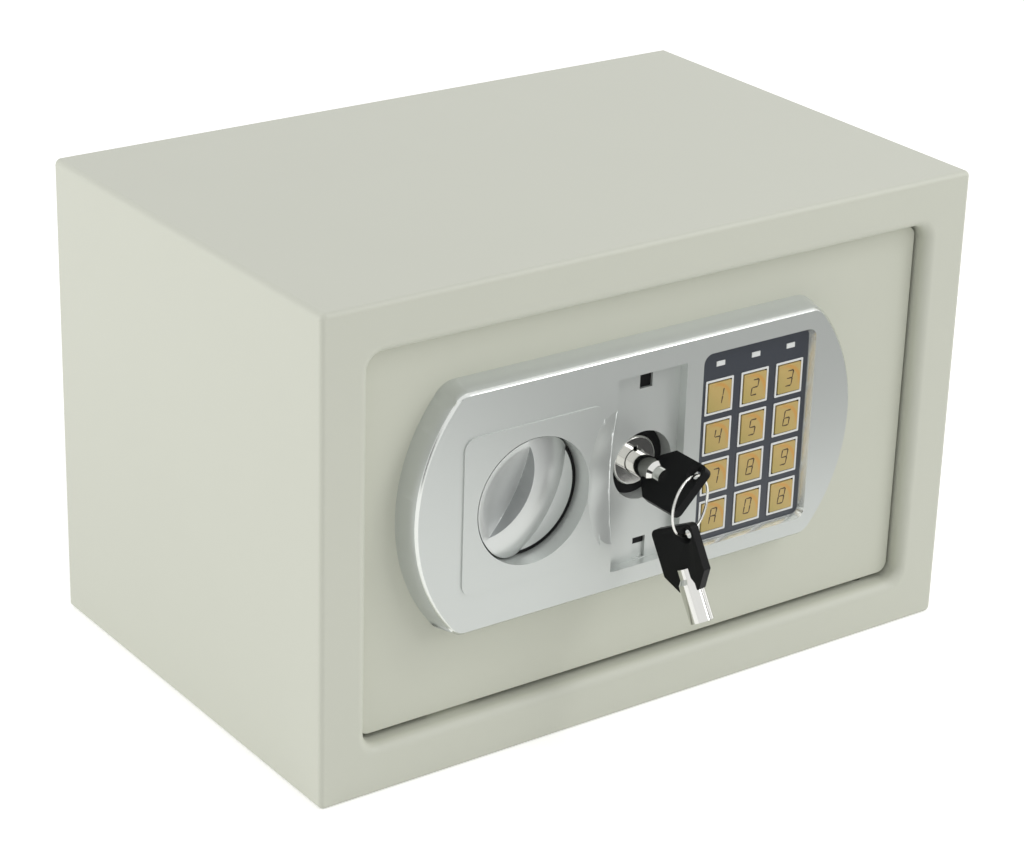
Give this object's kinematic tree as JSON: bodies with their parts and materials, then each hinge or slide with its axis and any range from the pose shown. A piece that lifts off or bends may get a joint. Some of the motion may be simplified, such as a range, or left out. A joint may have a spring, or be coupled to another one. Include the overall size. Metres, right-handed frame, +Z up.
{
  "type": "electronic safe",
  "caption": "Small sheet steel safe with a recessed hinged door, a moulded control panel with keypad, turn knob and tubular key lock, and keys on a ring.",
  "frame": {"origin": "centre of the body's footprint on its bottom face", "axes": "+X to the right seen from the front, +Y towards the back, +Z up; the door faces -Y"},
  "size_m": [0.31, 0.2418, 0.2],
  "materials": {
    "body_paint": "smooth warm grey enamel, satin",
    "door_paint": "smooth warm grey enamel, satin",
    "silver_plastic": "silver metallic plastic, fine satin",
    "panel_film": "dark slate printed film",
    "white_plastic": "white moulded plastic",
    "key_gold": "gold ochre printed key tops",
    "nickel": "bright nickel plate",
    "brass": "turned brass",
    "black_plastic": "black moulded plastic",
    "zinc": "zinc plated steel",
    "steel_pin": "ground steel",
    "felt": "dark needle felt",
    "board": "green circuit board",
    "ribbon": "grey ribbon cable",
    "copper": "varnished copper winding",
    "cell": "plain wrapped cells",
    "red_plastic": "red moulded plastic"
  },
  "bodies": {
    "case": {"body_wrap": "body_paint", "front_frame": "body_paint", "back_panel": "body_paint", "floor_mat": "felt", "door_stops": "body_paint", "hinge_brackets": "zinc"},
    "door": {"door_plate": "door_paint", "hinge_knuckles": "zinc", "hinge_pins": "steel_pin", "inner_cover": "door_paint", "cover_screws": "zinc", "fascia": "silver_plastic", "fascia_screws": "zinc", "keypad_panel": "panel_film", "key_frames": "white_plastic", "keypad_board": "board", "ribbon_cable": "ribbon", "indicator_lenses": "white_plastic", "lock_body": "nickel", "lock_nut": "zinc", "bolt_guide": "zinc", "slide_screws": "steel_pin", "solenoid_frame": "zinc", "solenoid_coil": "copper", "control_board": "board", "battery_box": "black_plastic", "batteries": "cell", "plunger_spring": "steel_pin"},
    "turn_knob": {"knob": "silver_plastic", "knob_crank": "zinc"},
    "bolt_work": {"bolt_plate": "zinc", "locking_bolts": "steel_pin"},
    "lock_rotor": {"lock_plug": "brass", "lock_tail": "zinc"},
    "key": {"key_tube": "nickel", "key_bow": "black_plastic"},
    "ring": {"key_ring": "nickel"},
    "spare_key": {"spare_key_tube": "nickel", "spare_key_bow": "black_plastic"},
    "override": {"solenoid_plunger": "steel_pin", "lift_plate": "zinc"},
    "button_1": {"key_1": "key_gold"},
    "button_2": {"key_2": "key_gold"},
    "button_3": {"key_3": "key_gold"},
    "button_4": {"key_4": "key_gold"},
    "button_5": {"key_5": "key_gold"},
    "button_6": {"key_6": "key_gold"},
    "button_7": {"key_7": "key_gold"},
    "button_8": {"key_8": "key_gold"},
    "button_9": {"key_9": "key_gold"},
    "button_a": {"key_a": "key_gold"},
    "button_0": {"key_0": "key_gold"},
    "button_b": {"key_b": "key_gold"},
    "hatch": {"battery_cover": "black_plastic"},
    "reset": {"reset_button": "red_plastic"}
  },
  "joints": [
    {"name": "door_hinge", "type": "hinge", "parent": "case", "child": "door", "pos_m": [0.12, -0.0875, 0.1], "axis": [0, 0, 1], "range_deg": [0, 105]},
    {"name": "knob_turn", "type": "hinge", "parent": "door", "child": "turn_knob", "pos_m": [-0.0634, -0.095, 0.108], "axis": [0, -1, 0], "range_deg": [0, 90]},
    {"name": "bolt_slide", "type": "slide", "parent": "door", "child": "bolt_work", "axis": [-1, 0, 0], "range_m": [0, 0.016]},
    {"name": "lock_turn", "type": "hinge", "parent": "door", "child": "lock_rotor", "pos_m": [-0.0082, -0.095, 0.108], "axis": [0, -1, 0], "range_deg": [0, 90]},
    {"name": "override_slide", "type": "slide", "parent": "door", "child": "override", "axis": [0, 0, -1], "range_m": [0, 0.00637], "deforming": ["plunger_spring"]},
    {"name": "key_pull", "type": "slide", "parent": "lock_rotor", "child": "key", "axis": [0, -1, 0], "range_m": [0, 0.012]},
    {"name": "ring_swing", "type": "hinge", "parent": "key", "child": "ring", "pos_m": [-0.00336, -0.1271, 0.11284], "axis": [0.7071, 0, -0.7071], "range_deg": [-30, 10]},
    {"name": "spare_swing", "type": "hinge", "parent": "ring", "child": "spare_key", "pos_m": [-0.00674, -0.12818, 0.08938], "axis": [-0.9877, -0.1564, 0], "range_deg": [-20, 30]},
    {"name": "press_1", "type": "slide", "parent": "door", "child": "button_1", "axis": [0, 1, 0], "range_m": [0, 0.0005], "stiffness_N_per_m": 300},
    {"name": "press_2", "type": "slide", "parent": "door", "child": "button_2", "axis": [0, 1, 0], "range_m": [0, 0.0005], "stiffness_N_per_m": 300},
    {"name": "press_3", "type": "slide", "parent": "door", "child": "button_3", "axis": [0, 1, 0], "range_m": [0, 0.0005], "stiffness_N_per_m": 300},
    {"name": "press_4", "type": "slide", "parent": "door", "child": "button_4", "axis": [0, 1, 0], "range_m": [0, 0.0005], "stiffness_N_per_m": 300},
    {"name": "press_5", "type": "slide", "parent": "door", "child": "button_5", "axis": [0, 1, 0], "range_m": [0, 0.0005], "stiffness_N_per_m": 300},
    {"name": "press_6", "type": "slide", "parent": "door", "child": "button_6", "axis": [0, 1, 0], "range_m": [0, 0.0005], "stiffness_N_per_m": 300},
    {"name": "press_7", "type": "slide", "parent": "door", "child": "button_7", "axis": [0, 1, 0], "range_m": [0, 0.0005], "stiffness_N_per_m": 300},
    {"name": "press_8", "type": "slide", "parent": "door", "child": "button_8", "axis": [0, 1, 0], "range_m": [0, 0.0005], "stiffness_N_per_m": 300},
    {"name": "press_9", "type": "slide", "parent": "door", "child": "button_9", "axis": [0, 1, 0], "range_m": [0, 0.0005], "stiffness_N_per_m": 300},
    {"name": "press_a", "type": "slide", "parent": "door", "child": "button_a", "axis": [0, 1, 0], "range_m": [0, 0.0005], "stiffness_N_per_m": 300},
    {"name": "press_0", "type": "slide", "parent": "door", "child": "button_0", "axis": [0, 1, 0], "range_m": [0, 0.0005], "stiffness_N_per_m": 300},
    {"name": "press_b", "type": "slide", "parent": "door", "child": "button_b", "axis": [0, 1, 0], "range_m": [0, 0.0005], "stiffness_N_per_m": 300},
    {"name": "hatch_pull", "type": "slide", "parent": "door", "child": "hatch", "axis": [0, 1, 0], "range_m": [0, 0.02]},
    {"name": "reset_press", "type": "slide", "parent": "door", "child": "reset", "axis": [0, -1, 0], "range_m": [0, 0.001], "stiffness_N_per_m": 300}
  ],
  "couplings": [
    {"joint": "knob_turn", "follows": "bolt_slide", "rad_per_m": 98.17},
    {"joint": "lock_turn", "follows": "override_slide", "rad_per_m": 246.59}
  ]
}
